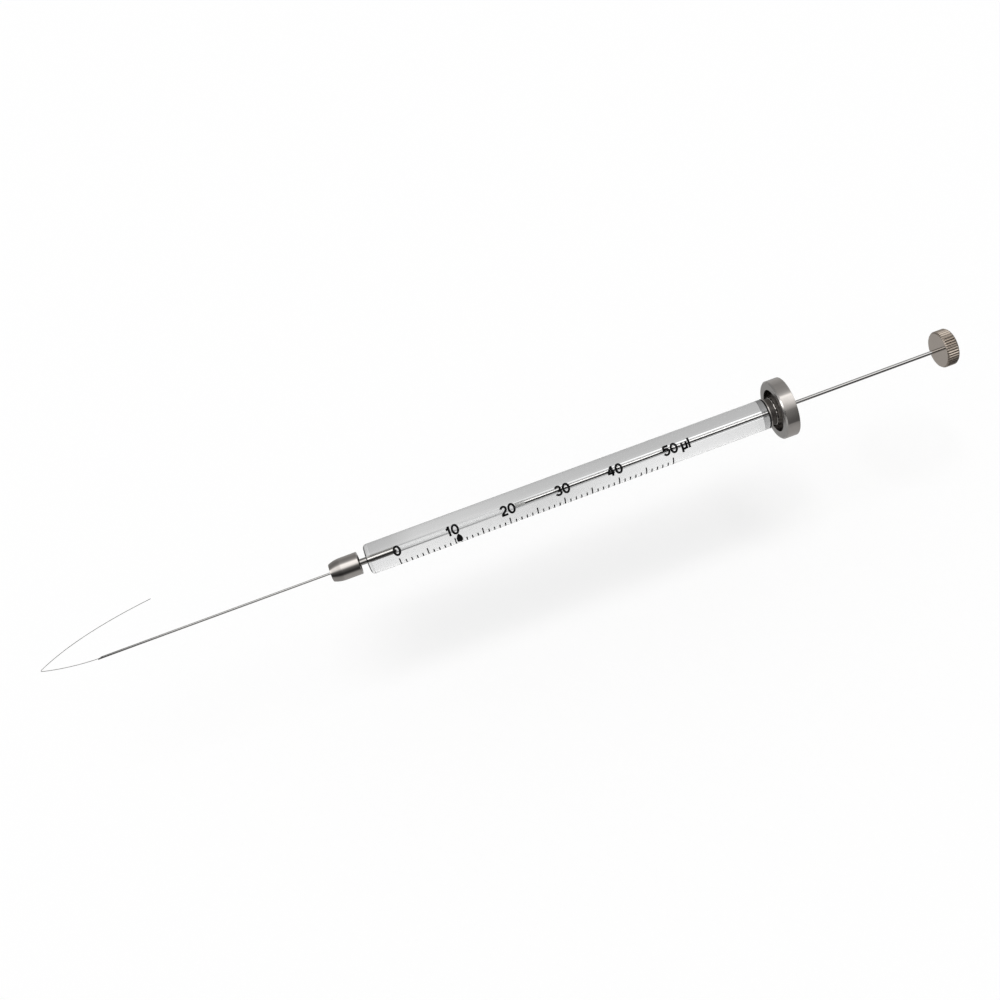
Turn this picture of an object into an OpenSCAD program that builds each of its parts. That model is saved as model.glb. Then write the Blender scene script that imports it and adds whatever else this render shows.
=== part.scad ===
// Gas-tight microsyringe with a removable needle, drawn at its real size in millimetres.
// The axis is X: the needle points to -X and the plunger button to +X. Z is up.
// The origin is on the axis at the zero line of the scale, where the steel stem ends in the bore.
// Angles round the axis are counted from straight up (+Z) towards the front (-Y).

/* [Barrel] */
// Outside diameter of the glass barrel
barrel_d = 6.45; // [6:0.05:8]
// Diameter of the bore
bore_d = 1.03; // [0.9:0.01:1.3]
// Length of glass ahead of the zero line
barrel_lead = 6.4; // [4:0.1:12]
// Length of glass from the last line to the shoulder at the rear
barrel_tail = 21.7; // [10:0.1:40]
// Radius of the rounded front edge
front_edge_r = 0.8; // [0.3:0.05:1.2]
// Diameter of the ground rear end that goes into the flange
glass_end_d = 5; // [4:0.1:5.2]
// Length of the ground rear end
glass_end_length = 3.2; // [2:0.1:3.6]

/* [Scale] */
// Length of the scale from the first line to the last
scale_length = 60; // [40:1:80]
// Number of divisions
scale_divisions = 50; // [10:1:60]
// Divisions from one long line to the next
long_line_every = 5; // [2:1:10]
// Width of a line
line_width = 0.26; // [0.1:0.01:0.3]
// Height of the ink above the glass
ink_height = 0.04; // [0.03:0.01:0.06]
// Angle at which every line starts, at the end away from the numbers
line_start_angle = 131; // [110:1:150]
// Angle that a short line spans
short_line_angle = 33; // [10:1:40]
// Angle that a long line spans
long_line_angle = 49; // [32:1:60]
// Width of the drop-shaped mark
drop_width = 1.3; // [0.8:0.05:2]
// Height of the drop-shaped mark
drop_height = 2.5; // [1.6:0.05:3]
// Distance of the drop-shaped mark from the zero line
drop_x = 12.95; // [2:0.05:30]
// Angle at the middle of the drop-shaped mark
drop_angle = 91.5; // [80:0.5:98]

/* [Needle] */
// Outside diameter of the needle
needle_d = 0.47; // [0.4:0.01:0.7]
// Bore of the needle
needle_bore_d = 0.16; // [0.14:0.01:0.2]
// Length of needle in front of the nut
needle_length = 50.15; // [40:0.05:80]
// Angle between the point's ground face and the axis
point_angle = 20; // [15:1:45]
// Diameter of the collar soldered on the needle
collar_d = 2.6; // [1.6:0.1:2.8]
// Length of the collar
collar_length = 1.2; // [0.8:0.1:1.6]
// Thickness of the seal behind the collar
seal_thickness = 0.5; // [0.3:0.05:0.8]

/* [Needle nut] */
// Largest diameter of the nut
nut_d = 4.8; // [4.4:0.05:6]
// Diameter of the nut's front face
nut_nose_d = 3.7; // [3:0.05:4.2]
// Length of the nut
nut_length = 6.2; // [5.8:0.1:9]
// Length of the curved stretch behind the front face
nut_curve_length = 2.6; // [1.5:0.1:4]
// Distance from the nut to the glass
nut_gap = 1.65; // [1:0.05:4]
// Diameter of the screw thread
thread_d = 3; // [2.8:0.05:3.2]
// Length of the threaded head
thread_length = 3.4; // [2:0.1:3.6]
// Depth of the threaded head below the nut's rear face
thread_depth = 0.45; // [0.2:0.05:0.8]
// Diameter of the stem's neck between the nut and the glass
neck_d = 1.4; // [1.35:0.05:2.2]
// Bore of the stem
stem_bore_d = 0.3; // [0.2:0.05:0.5]

/* [Flange] */
// Diameter of the flange
flange_d = 12.8; // [11.5:0.1:18]
// Thickness of the flange
flange_thickness = 3; // [2.6:0.1:6]
// Diameter of the recess in the front face
recess_d = 9.2; // [8.8:0.1:10]
// Depth of the recess
recess_depth = 2; // [1:0.1:2.2]
// Width of the slope at the front edge, along the axis
front_slope_length = 0.3; // [0.1:0.05:1.2]
// Width of the slope at the front edge, across the axis
front_slope_width = 0.3; // [0.1:0.05:0.9]
// Size of the small slope at the rear edge
rear_slope = 0.15; // [0.1:0.05:0.6]
// Distance of the hub's front end from the flange's front face
hub_reach = 1.85; // [1:0.05:3]
// Diameter of the hub behind its lip
hub_d = 5.8; // [5.6:0.05:6]
// Width of the lip at the hub's front end
lip_width = 0.4; // [0.3:0.05:0.9]
// Width of the black ring between the glass and the lip
ring_width = 0.35; // [0.2:0.05:0.6]
// Thickness of the black ring, across the axis
ring_thickness = 0.3; // [0.2:0.05:0.35]
// Diameter of the plunger guide in the flange
guide_d = 2.4; // [1.6:0.1:4]

/* [Plunger] */
// Diameter of the plunger rod
rod_d = 0.8; // [0.5:0.01:0.9]
// Length of the soft tip
tip_length = 2; // [1.2:0.1:4]
// Diameter of the rod's nipple inside the tip
nipple_d = 0.4; // [0.3:0.05:0.45]
// Distance from the zero line to the tip, as the plunger stands
plunger_draw = 26; // [0:0.5:40]
// Distance from the flange to the button with the plunger pushed home
button_standoff = 8.7; // [4:0.1:20]
// Diameter over the knurl of the button
button_d = 7.95; // [6:0.05:12]
// Thickness of the button
button_thickness = 2.7; // [2.4:0.1:5]
// Size of the slopes at the button's edges
button_slope = 0.3; // [0.1:0.05:0.6]
// Number of knurl teeth
knurl_teeth = 44; // [24:1:60]
// Depth of the knurl
knurl_depth = 0.16; // [0.05:0.01:0.3]
// How far the knurl's teeth are cut short of a sharp edge
knurl_land = 0.04; // [0.02:0.01:0.1]

/* [Cleaning wire] */
// Diameter of the cleaning wire
wire_d = 0.12; // [0.06:0.01:0.12]
// Distance from the needle's point to the wire's bend
wire_reach = 11.4; // [8:0.1:16]
// Distance along the axis from the bend to the wire's free end
wire_return = 25.5; // [18:0.1:34]
// Height of the free end above the axis
wire_rise = 7.8; // [5:0.1:12]
// Angle of the wire's plane round the axis
wire_angle = -45; // [-90:5:90]

/* [Hidden] */

$fn = 96;

// Clearances
thread_gap = 0.05;   // thread of the stem in the nut, on the radius
needle_gap = 0.05;   // needle in the hole of the nut, on the radius
face_gap = 0.02;     // between faces that the nut presses together
glue_gap = 0.015;    // between a part and the hole that it is cemented or pressed in, on the radius
tip_gap = 0.01;      // soft tip in the bore, on the radius
rod_gap = 0.03;      // plunger rod in its guide, on the radius
ink_gap = 0.005;     // between the glass and the ink
home_gap = 0.05;     // between the stem and the soft tip with the plunger pushed home
end_gap = 0.05;      // behind the ground end of the glass
over = 1;            // how far a cutting shape runs past what it cuts

// Drop-shaped mark: half the angle that it spans, the angle left free below it, and where its sides
// start to close to the point, as a height above its middle
drop_half_angle = asin(drop_height / barrel_d);
drop_line_gap = 1;
drop_shoulder = -0.05 * drop_height;

// Small edge slopes
nut_slope = 0.15;
bore_slope = 0.1;
pin_slope = 0.05;

// Places along the axis
glass_front_x = -barrel_lead;
shoulder_x = scale_length + barrel_tail;
glass_rear_x = shoulder_x + glass_end_length;
lip_x = shoulder_x + ring_width;
flange_front_x = lip_x + hub_reach;
flange_rear_x = flange_front_x + flange_thickness;
socket_floor_x = glass_rear_x + end_gap;
nut_rear_x = glass_front_x - nut_gap;
nut_front_x = nut_rear_x - nut_length;
thread_rear_x = nut_rear_x - thread_depth;
thread_front_x = thread_rear_x - thread_length;
seal_front_x = thread_front_x - face_gap - seal_thickness;
collar_front_x = seal_front_x - collar_length;
needle_tip_x = nut_front_x - needle_length;
tip_front_x = plunger_draw;
tip_rear_x = tip_front_x + tip_length;
button_front_x = flange_rear_x + button_standoff + plunger_draw;

// Routes of the cleaning wire outside the needle, as [distance along the axis, height above it]
bend_x = needle_tip_x - wire_reach;
wire_out = [[needle_tip_x, 0], [bend_x + 5.8, 0.15], [bend_x + 0.4, 1.42]];
wire_bend = [[bend_x + 0.4, 1.42], [bend_x - 0.15, 1.55], [bend_x - 0.05, 1.66], [bend_x + 0.5, 1.94]];
wire_back = [
    [bend_x + 0.5, 1.94],
    [bend_x + 0.38 * wire_return, 0.77 * wire_rise],
    [bend_x + wire_return, wire_rise]
];

// A profile of [x, radius] points, turned round the axis.
module turned(profile)
    rotate([0, 90, 0])
        rotate_extrude()
            polygon([for (p = profile) [p[1], p[0]]]);

// A plain cylinder on the axis from x0 to x1.
module rod(x0, x1, d)
    translate([x0, 0, 0])
        rotate([0, 90, 0])
            cylinder(d = d, h = x1 - x0);

// A bar of ink wrapped round the barrel from angle a0 to angle a1.
module wrapped_bar(x, width, a0, a1)
    rotate([a0 - 180, 0, 0])
        rotate([0, 90, 0])
            rotate_extrude(angle = a1 - a0)
                translate([barrel_d / 2 + ink_gap, x - width / 2])
                    square([ink_height, width]);

// The outline of the barrel's glass above the axis, with its rounded front edge.
module glass_outline() {
    r = barrel_d / 2;
    translate([0, glass_front_x])
        square([r - front_edge_r, shoulder_x - glass_front_x]);
    translate([0, glass_front_x + front_edge_r])
        square([r, shoulder_x - glass_front_x - front_edge_r]);
    translate([r - front_edge_r, glass_front_x + front_edge_r])
        circle(r = front_edge_r);
    translate([0, shoulder_x - over])
        square([glass_end_d / 2, glass_end_length + over]);
}

// Thick-walled capillary with a rounded front edge and a ground rear end.
module glass_barrel()
    color([0.86, 0.9, 0.9, 0.45])
        difference() {
            rotate([0, 90, 0])
                rotate_extrude()
                    glass_outline();
            rod(glass_front_x - over, glass_rear_x + over, bore_d);
            turned([
                [glass_rear_x - bore_slope, 0],
                [glass_rear_x - bore_slope, bore_d / 2],
                [glass_rear_x + over, bore_d / 2 + bore_slope + over],
                [glass_rear_x + over, 0]
            ]);
        }

// Distance of line i from the zero line.
function line_x(i) = i * scale_length / scale_divisions;

// Angle that line i spans. A line behind the drop-shaped mark shows only below it.
function line_angle(i) =
    let (whole = i % long_line_every == 0 ? long_line_angle : short_line_angle)
    abs(line_x(i) - drop_x) < (drop_width + line_width) / 2
        ? min(whole, line_start_angle - drop_angle - drop_half_angle - drop_line_gap)
        : whole;

// The flat outline of the drop-shaped mark: a round foot, straight sides, and curved sides that close to a point.
function drop_outline() =
    let (
        r = drop_width / 2,
        foot = r - drop_height / 2,
        rise = drop_height / 2 - drop_shoulder,
        side_r = (rise * rise + r * r) / (2 * r),
        sweep = asin(rise / side_r)
    )
    concat(
        [for (k = [0 : 16]) let (a = 180 + 180 * k / 16) [r * cos(a), foot + r * sin(a)]],
        [for (k = [0 : 8]) let (a = sweep * k / 8) [side_r * cos(a) - side_r + r, drop_shoulder + side_r * sin(a)]],
        [for (k = [7 : -1 : 0]) let (a = sweep * k / 8) [side_r - r - side_r * cos(a), drop_shoulder + side_r * sin(a)]]
    );

// The printed scale: short and long lines that wrap round the glass, and the drop-shaped mark.
module scale_marks()
    color([0.12, 0.12, 0.13]) {
        for (i = [0 : scale_divisions])
            if (line_angle(i) > 0)
                wrapped_bar(line_x(i), line_width, line_start_angle - line_angle(i), line_start_angle);
        intersection() {
            difference() {
                rod(drop_x - drop_width, drop_x + drop_width, barrel_d + 2 * (ink_gap + ink_height));
                rod(drop_x - drop_width - over, drop_x + drop_width + over, barrel_d + 2 * ink_gap);
            }
            translate([drop_x, 0, 0])
                rotate([drop_angle, 0, 0])
                    linear_extrude(barrel_d)
                        polygon(drop_outline());
        }
    }

// Steel stem: threaded head, neck and the thin tube cemented in the bore, with its own fine bore.
module needle_stem()
    color([0.7, 0.69, 0.67])
        difference() {
            turned([
                [thread_front_x, 0],
                [thread_front_x, thread_d / 2 - nut_slope],
                [thread_front_x + nut_slope, thread_d / 2],
                [thread_rear_x - nut_slope, thread_d / 2],
                [thread_rear_x, thread_d / 2 - nut_slope],
                [thread_rear_x, neck_d / 2],
                [glass_front_x, neck_d / 2],
                [glass_front_x, bore_d / 2 - glue_gap],
                [-home_gap, bore_d / 2 - glue_gap],
                [-home_gap, 0]
            ]);
            rod(thread_front_x - over, over, stem_bore_d);
        }

// Steel flange: disc with a recess in front and a hub, whose lip meets the glass and holds the black ring.
module barrel_flange() {
    seat_r = barrel_d / 2 - ring_thickness - glue_gap;
    color([0.62, 0.59, 0.56])
        difference() {
            turned([
                [shoulder_x + face_gap, 0],
                [shoulder_x + face_gap, seat_r],
                [lip_x, seat_r],
                [lip_x, barrel_d / 2],
                [lip_x + lip_width, barrel_d / 2],
                [lip_x + lip_width, hub_d / 2],
                [flange_front_x + recess_depth, hub_d / 2],
                [flange_front_x + recess_depth, recess_d / 2],
                [flange_front_x, recess_d / 2],
                [flange_front_x, flange_d / 2 - front_slope_width],
                [flange_front_x + front_slope_length, flange_d / 2],
                [flange_rear_x - rear_slope, flange_d / 2],
                [flange_rear_x, flange_d / 2 - rear_slope],
                [flange_rear_x, 0]
            ]);
            rod(shoulder_x - over, socket_floor_x, glass_end_d + 2 * glue_gap);
            rod(socket_floor_x - over, flange_rear_x + over, guide_d + 2 * glue_gap);
        }
}

// Black ring round the hub's front end, between the shoulder of the glass and the lip.
module end_ring()
    color([0.08, 0.08, 0.08])
        difference() {
            rod(shoulder_x, lip_x, barrel_d);
            rod(shoulder_x - over, lip_x + over, barrel_d - 2 * ring_thickness);
        }

// Bush in the flange that guides the plunger rod.
module plunger_guide()
    color([0.75, 0.74, 0.72])
        difference() {
            rod(socket_floor_x, flange_rear_x, guide_d);
            rod(socket_floor_x - over, flange_rear_x + over, rod_d + 2 * rod_gap);
        }

// Needle with a ground point.
module needle_tube()
    color([0.66, 0.66, 0.65])
        difference() {
            rod(needle_tip_x, seal_front_x, needle_d);
            rod(needle_tip_x - over, seal_front_x + over, needle_bore_d);
            translate([needle_tip_x, 0, -needle_d / 2])
                rotate([0, -point_angle, 0])
                    translate([-needle_d, -needle_d, 0])
                        cube([needle_d * (1 + 1 / sin(point_angle)), 2 * needle_d, needle_d * 2]);
        }

// Collar soldered on the needle, which the nut presses against the seal.
module needle_collar()
    color([0.72, 0.6, 0.36])
        difference() {
            rod(collar_front_x, seal_front_x, collar_d);
            rod(collar_front_x - over, seal_front_x + over, needle_d + 2 * glue_gap);
        }

// Soft seal between the collar and the stem.
module needle_seal()
    color([0.93, 0.93, 0.91])
        difference() {
            rod(seal_front_x, thread_front_x - face_gap, collar_d);
            rod(seal_front_x - over, thread_front_x + over, stem_bore_d);
        }

// Points along a Bezier curve of any order, at parameter t.
function bezier(points, t) =
    len(points) == 1
        ? points[0]
        : bezier([for (i = [0 : len(points) - 2]) points[i] * (1 - t) + points[i + 1] * t], t);

// A tube round a route that lies in one plane, as one closed solid.
module swept_wire(route, d, sides = 8) {
    last = len(route) - 1;
    points = [
        for (i = [0 : last])
            let (
                ahead = route[min(i + 1, last)] - route[max(i - 1, 0)],
                across = [-ahead[1], ahead[0]] / norm(ahead)
            )
            for (k = [0 : sides - 1])
                let (a = 360 * k / sides)
                [
                    route[i][0] + across[0] * cos(a) * d / 2,
                    sin(a) * d / 2,
                    route[i][1] + across[1] * cos(a) * d / 2
                ]
    ];
    walls = [
        for (i = [0 : last - 1])
            for (k = [0 : sides - 1])
                let (a = i * sides + k, b = i * sides + (k + 1) % sides)
                each [[a, b, b + sides], [a, b + sides, a + sides]]
    ];
    ends = [
        [for (k = [sides - 1 : -1 : 0]) k],
        [for (k = [0 : sides - 1]) last * sides + k]
    ];
    polyhedron(points, concat(walls, ends));
}

// Hair-thin wire that keeps the needle's bore clear: it leaves the point and is bent back on itself.
module cleaning_wire()
    color([0.5, 0.5, 0.5])
        rotate([wire_angle, 0, 0])
            swept_wire(
                concat(
                    [[seal_front_x, 0]],
                    [for (i = [0 : 9]) bezier(wire_out, i / 10)],
                    [for (i = [0 : 7]) bezier(wire_bend, i / 8)],
                    [for (i = [0 : 20]) bezier(wire_back, i / 20)]
                ),
                wire_d
            );

// The outline of the nut above the axis: a nose that curves out to a straight body.
module nut_outline() {
    r = nut_d / 2;
    drop = (nut_d - nut_nose_d) / 2;
    curve_r = (nut_curve_length * nut_curve_length + drop * drop) / (2 * drop);
    intersection() {
        translate([0, nut_front_x])
            square([r, nut_curve_length]);
        translate([r - curve_r, nut_front_x + nut_curve_length])
            circle(r = curve_r);
    }
    polygon([
        [0, nut_front_x + nut_curve_length],
        [r, nut_front_x + nut_curve_length],
        [r, nut_rear_x - nut_slope],
        [r - nut_slope, nut_rear_x],
        [0, nut_rear_x]
    ]);
}

// Barrel-shaped nut that screws on the stem and holds the needle.
module needle_nut()
    color([0.6, 0.57, 0.54])
        difference() {
            rotate([0, 90, 0])
                rotate_extrude()
                    nut_outline();
            rod(nut_front_x - over, nut_rear_x, needle_d + 2 * needle_gap);
            rod(collar_front_x - face_gap, nut_rear_x + over, thread_d + 2 * thread_gap);
        }

// Plunger rod with a nipple for the soft tip.
module plunger_rod()
    color([0.6, 0.59, 0.58])
        turned([
            [tip_rear_x - 0.7 * tip_length, 0],
            [tip_rear_x - 0.7 * tip_length, nipple_d / 2 - pin_slope],
            [tip_rear_x - 0.7 * tip_length + pin_slope, nipple_d / 2],
            [tip_rear_x, nipple_d / 2],
            [tip_rear_x, rod_d / 2],
            [button_front_x + button_thickness / 2, rod_d / 2],
            [button_front_x + button_thickness / 2, 0]
        ]);

// Soft sealing tip pushed over the nipple.
module plunger_tip()
    color([0.93, 0.93, 0.91])
        difference() {
            turned([
                [tip_front_x, 0],
                [tip_front_x, bore_d / 2 - tip_gap - pin_slope],
                [tip_front_x + pin_slope, bore_d / 2 - tip_gap],
                [tip_rear_x, bore_d / 2 - tip_gap],
                [tip_rear_x, 0]
            ]);
            rod(tip_rear_x - 0.7 * tip_length - glue_gap, tip_rear_x + over, nipple_d + 2 * glue_gap);
        }

// The outline of the knurled rim, seen along the axis.
function knurl_outline() = [
    for (i = [0 : 2 * knurl_teeth - 1])
        let (a = 180 * i / knurl_teeth, r = button_d / 2 + (i % 2 == 0 ? knurl_land : -knurl_depth))
        [r * cos(a), r * sin(a)]
];

// Button with a straight knurl and sloped edges.
module plunger_button()
    color([0.66, 0.62, 0.57])
        difference() {
            intersection() {
                translate([button_front_x, 0, 0])
                    rotate([0, 90, 0])
                        linear_extrude(button_thickness)
                            polygon(knurl_outline());
                turned([
                    [button_front_x, 0],
                    [button_front_x, button_d / 2 - button_slope],
                    [button_front_x + button_slope, button_d / 2],
                    [button_front_x + button_thickness - button_slope, button_d / 2],
                    [button_front_x + button_thickness, button_d / 2 - button_slope],
                    [button_front_x + button_thickness, 0]
                ]);
            }
            rod(button_front_x - over, button_front_x + button_thickness / 2 + glue_gap, rod_d + 2 * glue_gap);
        }

glass_barrel();
scale_marks();
needle_stem();
barrel_flange();
end_ring();
plunger_guide();
needle_tube();
needle_collar();
needle_seal();
cleaning_wire();
needle_nut();
plunger_rod();
plunger_tip();
plunger_button();
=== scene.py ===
"""Looks of the gas-tight microsyringe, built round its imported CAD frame.

Sizes in this file are millimetres until a mesh is made; the frame is in metres.
The syringe's axis is X. Angles round it are degrees from +Z towards -Y.
"""

import math

import bmesh
import bpy
from mathutils import Matrix, Vector


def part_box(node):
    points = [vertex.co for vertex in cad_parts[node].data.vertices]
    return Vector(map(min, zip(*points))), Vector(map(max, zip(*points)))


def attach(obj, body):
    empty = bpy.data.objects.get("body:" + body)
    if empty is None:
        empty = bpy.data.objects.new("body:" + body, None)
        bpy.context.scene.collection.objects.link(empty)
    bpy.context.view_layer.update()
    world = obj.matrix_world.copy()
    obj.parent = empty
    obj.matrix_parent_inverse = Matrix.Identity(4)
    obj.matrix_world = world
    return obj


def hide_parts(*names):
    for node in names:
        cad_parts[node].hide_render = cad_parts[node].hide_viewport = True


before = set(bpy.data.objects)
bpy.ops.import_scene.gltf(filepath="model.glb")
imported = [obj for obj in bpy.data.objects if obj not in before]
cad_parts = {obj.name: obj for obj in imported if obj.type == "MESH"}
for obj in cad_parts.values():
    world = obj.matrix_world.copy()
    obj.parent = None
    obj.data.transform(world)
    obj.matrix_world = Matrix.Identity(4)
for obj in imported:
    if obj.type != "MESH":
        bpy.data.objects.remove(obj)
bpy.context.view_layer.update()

MM = 0.001
SEGMENTS = 192

# ---------------------------------------------------------------- sizes, from the CAD nodes


def extent(node):
    """Lowest x, highest x and largest half width of a CAD node, in millimetres."""
    low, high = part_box(node)
    return low[0] / MM, high[0] / MM, max(high[1] - low[1], high[2] - low[2]) / 2 / MM


glass_front, glass_rear, _ = extent("glass_barrel")
ring_front, ring_rear, _ = extent("end_ring")
stem_front, stem_rear, _ = extent("needle_stem")
nut_front, nut_rear, _ = extent("needle_nut")
flange_lip, flange_rear, _ = extent("barrel_flange")
needle_tip, needle_end, _ = extent("needle_tube")
collar_front, _, _ = extent("needle_collar")
rod_front, rod_rear, _ = extent("plunger_rod")
button_front, button_rear, _ = extent("plunger_button")

GLASS_R = 3.225
BORE_R = 0.515
STEM_R = 0.5
GLASS_END_R = 2.5
LINE_COUNT = 51
LINE_STEP = 1.2
LINE_WIDTH = 0.26
LINE_START = 131.0
LINE_SPAN_SHORT, LINE_SPAN_LONG = 33.0, 49.0
DROP_X, DROP_ANGLE, DROP_WIDTH, DROP_HEIGHT = 12.95, 91.5, 1.3, 2.5
INK_OUT, INK_IN = 0.02, -0.02
NUMBER_HEIGHT = 2.12
NUMBER_STROKE = 0.46
THREAD_PITCH = 0.5

# ---------------------------------------------------------------- mesh helpers


def on_axis(x, r, angle):
    """The point at x, at radius r and that angle round the axis, in metres."""
    a = math.radians(angle)
    return Vector((x, -r * math.sin(a), r * math.cos(a))) * MM


def add_piece(name, mesh, body, material, replaces=()):
    """A mesh as a piece of the part, riding on a body."""
    obj = bpy.data.objects.new(name, mesh)
    bpy.context.scene.collection.objects.link(obj)
    mesh.materials.clear()
    mesh.materials.append(material)
    if replaces:
        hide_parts(*replaces)
    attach(obj, body)
    return obj


def place_of(face):
    """Where the middle of a face lies along the axis, and how far from the axis, in millimetres."""
    return face.center.x / MM, math.hypot(face.center.y, face.center.z) / MM


def rounded(profile, closed):
    """Profile points (x, r) or (x, r, fillet) as [point, normal before, normal after], each fillet as an arc."""
    count = len(profile)
    out = []
    for i, point in enumerate(profile):
        p = Vector(point[:2])
        fillet = point[2] if len(point) > 2 else 0
        before = Vector(profile[i - 1][:2]) if i or closed else None
        after = Vector(profile[(i + 1) % count][:2]) if i < count - 1 or closed else None
        d1 = (p - before).normalized() if before is not None else None
        d2 = (after - p).normalized() if after is not None else None
        n1 = Vector((-d1.y, d1.x)) if d1 is not None else None
        n2 = Vector((-d2.y, d2.x)) if d2 is not None else None
        if not fillet or d1 is None or d2 is None:
            out.append([p, n1 or n2, n2 or n1])
            continue
        turn = math.atan2(d1.x * d2.y - d1.y * d2.x, d1.dot(d2))
        reach = fillet * math.tan(abs(turn) / 2)
        steps = max(3, round(abs(turn) / math.radians(12)))
        start = p - d1 * reach
        centre = start - n1 * fillet * (1 if turn < 0 else -1)
        for k in range(steps + 1):
            a = turn * k / steps
            n = Vector((n1.x * math.cos(a) - n1.y * math.sin(a), n1.x * math.sin(a) + n1.y * math.cos(a)))
            out.append([centre + n * fillet * (1 if turn < 0 else -1), n, n])
    return out


def turned_mesh(name, profile, segments=SEGMENTS):
    """A profile turned round the axis, with true normals: from axis to axis, or else a closed loop."""
    closed = profile[0][1] > 0
    points = rounded(profile, closed)
    verts, rings = [], []
    for p, _, _ in points:
        if p.y < 1e-6:
            rings.append([len(verts)] * segments)
            verts.append(on_axis(p.x, 0, 0))
        else:
            rings.append(list(range(len(verts), len(verts) + segments)))
            verts += [on_axis(p.x, p.y, 360 * j / segments) for j in range(segments)]
    faces, normals = [], []
    last = len(points) if closed else len(points) - 1
    for i in range(last):
        k = (i + 1) % len(points)
        a, b = rings[i], rings[k]
        na, nb = points[i][2], points[k][1]
        for j in range(segments):
            m = (j + 1) % segments
            corners = [(a[j], na, j), (a[m], na, m), (b[m], nb, m), (b[j], nb, j)]
            unique = []
            for c in corners:
                if all(c[0] != u[0] for u in unique):
                    unique.append(c)
            if len(unique) < 3:
                continue
            faces.append([c[0] for c in unique])
            for _, n, s in unique:
                v = on_axis(n.x, n.y, 360 * s / segments)
                normals.append(v.normalized())
    mesh = bpy.data.meshes.new(name)
    mesh.from_pydata(verts, [], faces)
    mesh.polygons.foreach_set("use_smooth", [True] * len(mesh.polygons))
    mesh.normals_split_custom_set(normals)
    mesh.update()
    return mesh


def grid_mesh(name, rows, loop_rows=False, loop_columns=True):
    """Rows of points as a quad mesh."""
    verts = [v for row in rows for v in row]
    n, count = len(rows[0]), len(rows)
    faces = []
    for i in range(count if loop_rows else count - 1):
        for j in range(n if loop_columns else n - 1):
            a, b = i * n + j, i * n + (j + 1) % n
            c, d = ((i + 1) % count) * n + (j + 1) % n, ((i + 1) % count) * n + j
            faces.append((a, b, c, d))
    mesh = bpy.data.meshes.new(name)
    mesh.from_pydata(verts, [], faces)
    mesh.polygons.foreach_set("use_smooth", [True] * len(mesh.polygons))
    return mesh


def tidy(mesh, distance=1e-7):
    """Merges doubled points, drops faces of no area and turns the normals out."""
    bm = bmesh.new()
    bm.from_mesh(mesh)
    bmesh.ops.remove_doubles(bm, verts=bm.verts, dist=distance)
    bmesh.ops.dissolve_degenerate(bm, edges=bm.edges, dist=distance)
    bmesh.ops.recalc_face_normals(bm, faces=bm.faces)
    bm.to_mesh(mesh)
    bm.free()
    return mesh


def thread_mesh(name, x0, x1, crest, root, back, segments=96):
    """A ring with a right-hand thread on one side, between radii crest and root, and plain at radius back."""
    shape = [(0.0, root), (0.2, root), (0.44, crest), (0.56, crest), (0.8, root)]
    levels = []
    turns = math.ceil((x1 - x0) / THREAD_PITCH) + 1
    for t in range(-1, turns):
        levels += [((t + u) * THREAD_PITCH, r) for u, r in shape]
    rows = []
    for offset, r in levels:
        row = []
        for j in range(segments + 1):
            x = x0 + offset + THREAD_PITCH * j / segments
            row.append(on_axis(min(max(x, x0), x1), r if x0 < x < x1 else root, 360 * j / segments))
        rows.append(row)
    rows.append([on_axis(x1, back, 360 * j / segments) for j in range(segments + 1)])
    rows.append([on_axis(x0, back, 360 * j / segments) for j in range(segments + 1)])
    mesh = grid_mesh(name, rows, loop_rows=True, loop_columns=False)
    tidy(mesh)
    mesh.set_sharp_from_angle(angle=math.radians(25))
    return mesh


def joined(name, *meshes):
    """Several meshes as one, each keeping its normals."""
    objects = []
    for m in meshes:
        o = bpy.data.objects.new(m.name, m)
        bpy.context.scene.collection.objects.link(o)
        objects.append(o)
    with bpy.context.temp_override(active_object=objects[0], selected_editable_objects=objects):
        bpy.ops.object.join()
    mesh = objects[0].data
    bpy.data.objects.remove(objects[0])
    mesh.name = name
    return mesh


def wrapped_ink(name, flat, x, angle):
    """A flat bmesh, in millimetres along the axis and up the print, as ink on the glass, centred on x and angle."""
    steps = 40
    reach = max(abs(v.co.y) for v in flat.verts)
    for k in range(1, steps):
        y = -reach + 2 * reach * k / steps
        bmesh.ops.bisect_plane(
            flat, geom=flat.verts[:] + flat.edges[:] + flat.faces[:], plane_co=(0, y, 0), plane_no=(0, 1, 0)
        )
    flat.verts.index_update()
    count = len(flat.verts)

    def place(v, r):
        return on_axis(x + v.co.x, r, angle - math.degrees(v.co.y / GLASS_R))

    verts = [place(v, GLASS_R + depth) for depth in (INK_OUT, INK_IN) for v in flat.verts]
    faces = []
    for f in flat.faces:
        ring = [v.index for v in f.verts]
        faces.append(ring)
        faces.append([i + count for i in reversed(ring)])
    for e in flat.edges:
        if len(e.link_faces) == 1:
            a, b = e.verts[0].index, e.verts[1].index
            faces.append((a, b, b + count, a + count))
    mesh = bpy.data.meshes.new(name)
    mesh.from_pydata(verts, [], faces)
    return tidy(mesh)


# ---------------------------------------------------------------- materials


def new_material(name, color, metallic=0.0, roughness=0.5, **sockets):
    """A material with one Principled shader. Sockets are set by name, with _ for a space."""
    mat = bpy.data.materials.new(name)
    mat.use_nodes = True
    shader = mat.node_tree.nodes["Principled BSDF"]
    shader.inputs["Base Color"].default_value = (*color, 1)
    shader.inputs["Metallic"].default_value = metallic
    shader.inputs["Roughness"].default_value = roughness
    for key, value in sockets.items():
        shader.inputs[key.replace("_", " ")].default_value = value
    return mat, mat.node_tree.nodes, mat.node_tree.links, shader


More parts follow.
